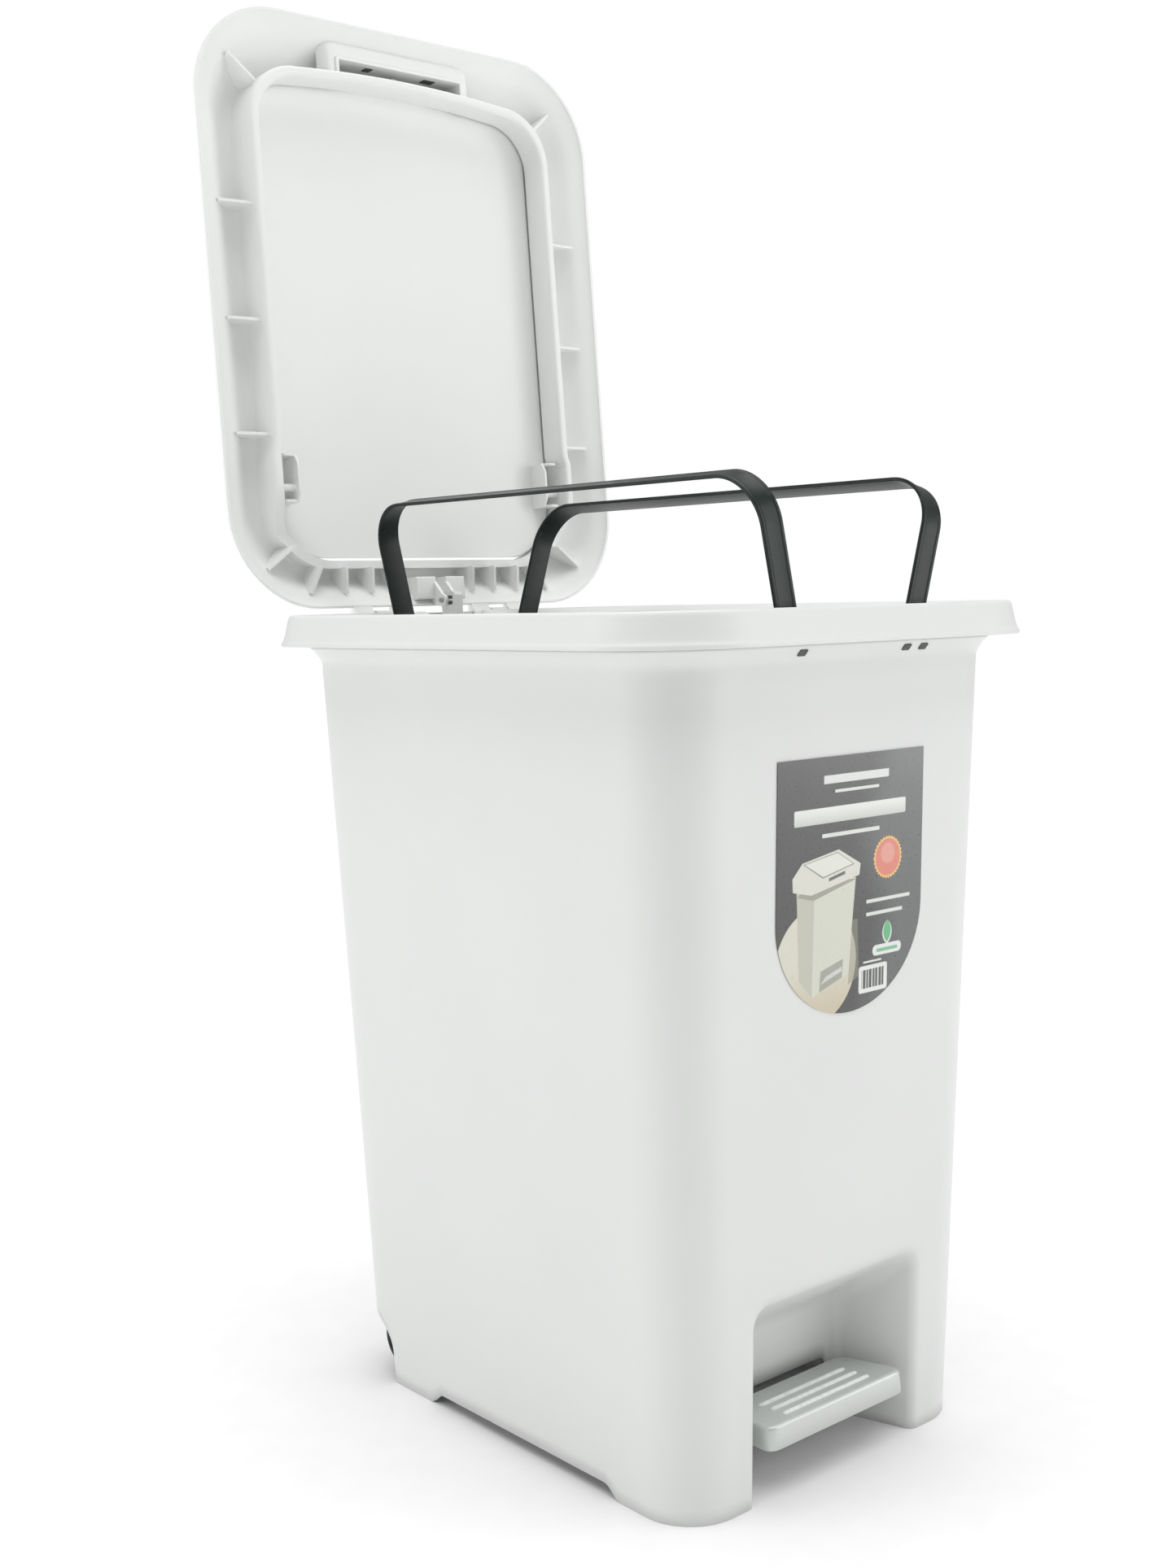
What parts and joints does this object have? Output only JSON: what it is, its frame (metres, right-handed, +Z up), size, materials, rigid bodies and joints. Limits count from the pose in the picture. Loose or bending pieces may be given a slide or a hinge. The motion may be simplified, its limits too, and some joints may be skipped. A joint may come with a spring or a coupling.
{
  "type": "pedal trash can",
  "caption": "Tapered plastic pedal bin with a foot pocket, hinged lid with a latched flap, folding bag hoops, a push rod lift and rear wheels.",
  "frame": {"origin": "on the floor, under the middle of the whole object's box with the lid standing open", "axes": "+Z up; -Y towards the front, where the pedal is; +X to the right for a viewer who looks at the front"},
  "size_m": [0.3538, 0.4928, 0.9693],
  "materials": {
    "white_plastic": "semi-matte moulded, faint cool tint",
    "steel": "drawn bright wire and zinc-plated screws",
    "dark_plastic": "satin",
    "silver_plastic": "metallic silver-grey satin",
    "black_plastic": "fine grain",
    "label_film": "printed film"
  },
  "bodies": {
    "bin": {"bin_body": "white_plastic", "front_label": "label_film", "rim_ring": "white_plastic", "lid_hinge_rod": "steel", "rod_guide_lower": "white_plastic", "rod_guide_upper": "white_plastic", "rod_cover": "white_plastic", "cover_screw_1": "steel", "cover_screw_2": "steel", "cover_screw_3": "steel", "cover_screw_4": "steel", "pedal_axle": "steel", "axle_keeper_left": "white_plastic", "axle_keeper_right": "white_plastic", "keeper_screw_1": "steel", "keeper_screw_2": "steel", "keeper_screw_3": "steel", "keeper_screw_4": "steel", "wheel_axle_left": "steel", "wheel_cap_left": "steel", "wheel_axle_right": "steel", "wheel_cap_right": "steel"},
    "lid": {"lid_frame": "white_plastic", "latch_spring": "steel", "link_pin": "steel"},
    "flap": {"lid_flap": "white_plastic", "flap_panel": "white_plastic"},
    "latch": {"latch_rocker": "silver_plastic"},
    "hoop_left": {"bag_hoop_left": "dark_plastic"},
    "hoop_right": {"bag_hoop_right": "dark_plastic"},
    "pedal": {"pedal_cap": "silver_plastic", "pedal_lever": "white_plastic", "lever_pin": "steel"},
    "rod": {"push_rod": "steel", "rod_head": "white_plastic", "rod_foot": "dark_plastic"},
    "wheel_left": {"wheel_left": "black_plastic"},
    "wheel_right": {"wheel_right": "black_plastic"}
  },
  "joints": [
    {"name": "lid_hinge", "type": "hinge", "parent": "bin", "child": "lid", "pos_m": [0, 0.1871, 0.5369], "axis": [1, 0, 0], "range_deg": [0, 94]},
    {"name": "flap_hinge", "type": "hinge", "parent": "lid", "child": "flap", "pos_m": [0, 0.20396, 0.63104], "axis": [-1, 0, 0], "range_deg": [0, 80]},
    {"name": "latch_press", "type": "hinge", "parent": "lid", "child": "latch", "pos_m": [0, 0.22253, 0.93278], "axis": [1, 0, 0], "range_deg": [0, 4], "stiffness_Nm_per_rad": 0.8, "springref_deg": -2.86},
    {"name": "hoop_left_fold", "type": "hinge", "parent": "bin", "child": "hoop_left", "pos_m": [-0.0558, -0.0332, 0.53], "axis": [0, -1, 0], "range_deg": [0, 77.6]},
    {"name": "hoop_right_fold", "type": "hinge", "parent": "bin", "child": "hoop_right", "pos_m": [0.0558, -0.0332, 0.53], "axis": [0, 1, 0], "range_deg": [0, 72.8]},
    {"name": "pedal_pivot", "type": "hinge", "parent": "bin", "child": "pedal", "pos_m": [0, -0.0732, 0.03], "axis": [-1, 0, 0], "range_deg": [0, 5.5]},
    {"name": "rod_slide", "type": "slide", "parent": "bin", "child": "rod", "axis": [0, -0.0314, -0.9995], "range_m": [0, 0.0224]},
    {"name": "wheel_left_spin", "type": "hinge", "parent": "bin", "child": "wheel_left", "pos_m": [-0.109, 0.1038, 0.0245], "axis": [1, 0, 0], "continuous": true},
    {"name": "wheel_right_spin", "type": "hinge", "parent": "bin", "child": "wheel_right", "pos_m": [0.109, 0.1038, 0.0245], "axis": [1, 0, 0], "continuous": true}
  ],
  "couplings": [
    {"joint": "hoop_left_fold", "follows": "lid_hinge", "ratio": 0.825},
    {"joint": "hoop_right_fold", "follows": "lid_hinge", "ratio": 0.774},
    {"joint": "pedal_pivot", "follows": "lid_hinge", "ratio": 0.0581},
    {"joint": "rod_slide", "follows": "lid_hinge", "m_per_rad": 0.01356}
  ]
}
